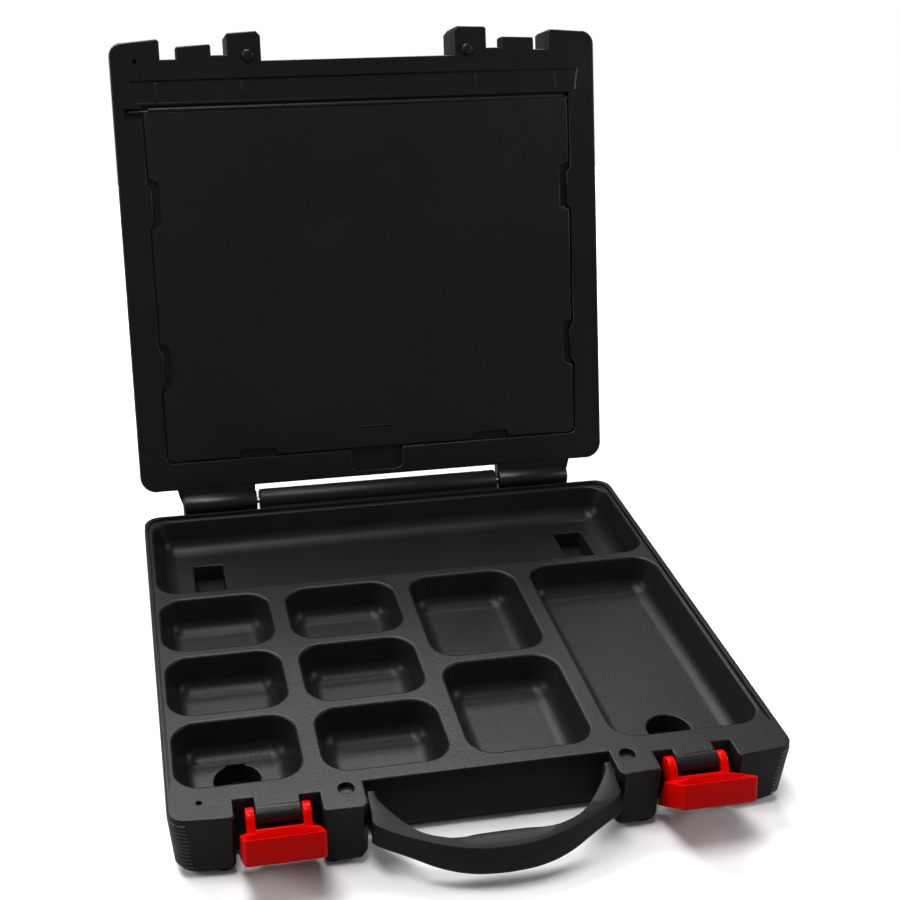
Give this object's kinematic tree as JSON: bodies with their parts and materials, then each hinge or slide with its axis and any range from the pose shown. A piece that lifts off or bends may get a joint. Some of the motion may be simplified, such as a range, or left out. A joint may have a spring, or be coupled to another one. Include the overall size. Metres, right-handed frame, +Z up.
{
  "type": "blow-moulded tool carrying case",
  "caption": "Open moulded tool case with fitted tray pockets, a hinged lid with a cover panel, side latches and a folding carry handle.",
  "frame": {"origin": "centre of the case's plan rectangle on the underside of the base", "axes": "+Z up out of the open tray, +Y from the latches and handle to the hinge, +X to the right seen from the latches"},
  "size_m": [0.34, 0.4869, 0.3498],
  "materials": {
    "case_plastic": "fine moulded grain",
    "panel_plastic": "fine moulded grain",
    "handle_plastic": "matte",
    "latch_plastic": "glossy",
    "pin_steel": "plain drawn wire"
  },
  "bodies": {
    "base": {"base_shell": "case_plastic", "hinge_pin_left": "pin_steel", "hinge_pin_right": "pin_steel"},
    "lid": {"lid_shell": "case_plastic"},
    "panel": {"cover_panel": "panel_plastic"},
    "handle": {"carry_handle": "handle_plastic"},
    "left_latch": {"latch_left": "latch_plastic"},
    "right_latch": {"latch_right": "latch_plastic"}
  },
  "joints": [
    {"name": "lid_hinge", "type": "hinge", "parent": "base", "child": "lid", "pos_m": [0, 0.16525, 0.039], "axis": [-1, 0, 0], "range_deg": [-107, 0]},
    {"name": "panel_hinge", "type": "hinge", "parent": "lid", "child": "panel", "pos_m": [0, 0.24779, 0.30008], "axis": [-1, 0, 0], "range_deg": [0, 100]},
    {"name": "latch_left_pivot", "type": "hinge", "parent": "base", "child": "left_latch", "pos_m": [0, -0.15075, 0.032], "axis": [1, 0, 0], "range_deg": [-70, 0]},
    {"name": "latch_right_pivot", "type": "hinge", "parent": "base", "child": "right_latch", "pos_m": [0, -0.15075, 0.032], "axis": [1, 0, 0], "range_deg": [-70, 0]},
    {"name": "handle_pivot", "type": "hinge", "parent": "base", "child": "handle", "pos_m": [0, -0.14975, 0.032], "axis": [-1, 0, 0], "range_deg": [0, 108]}
  ]
}
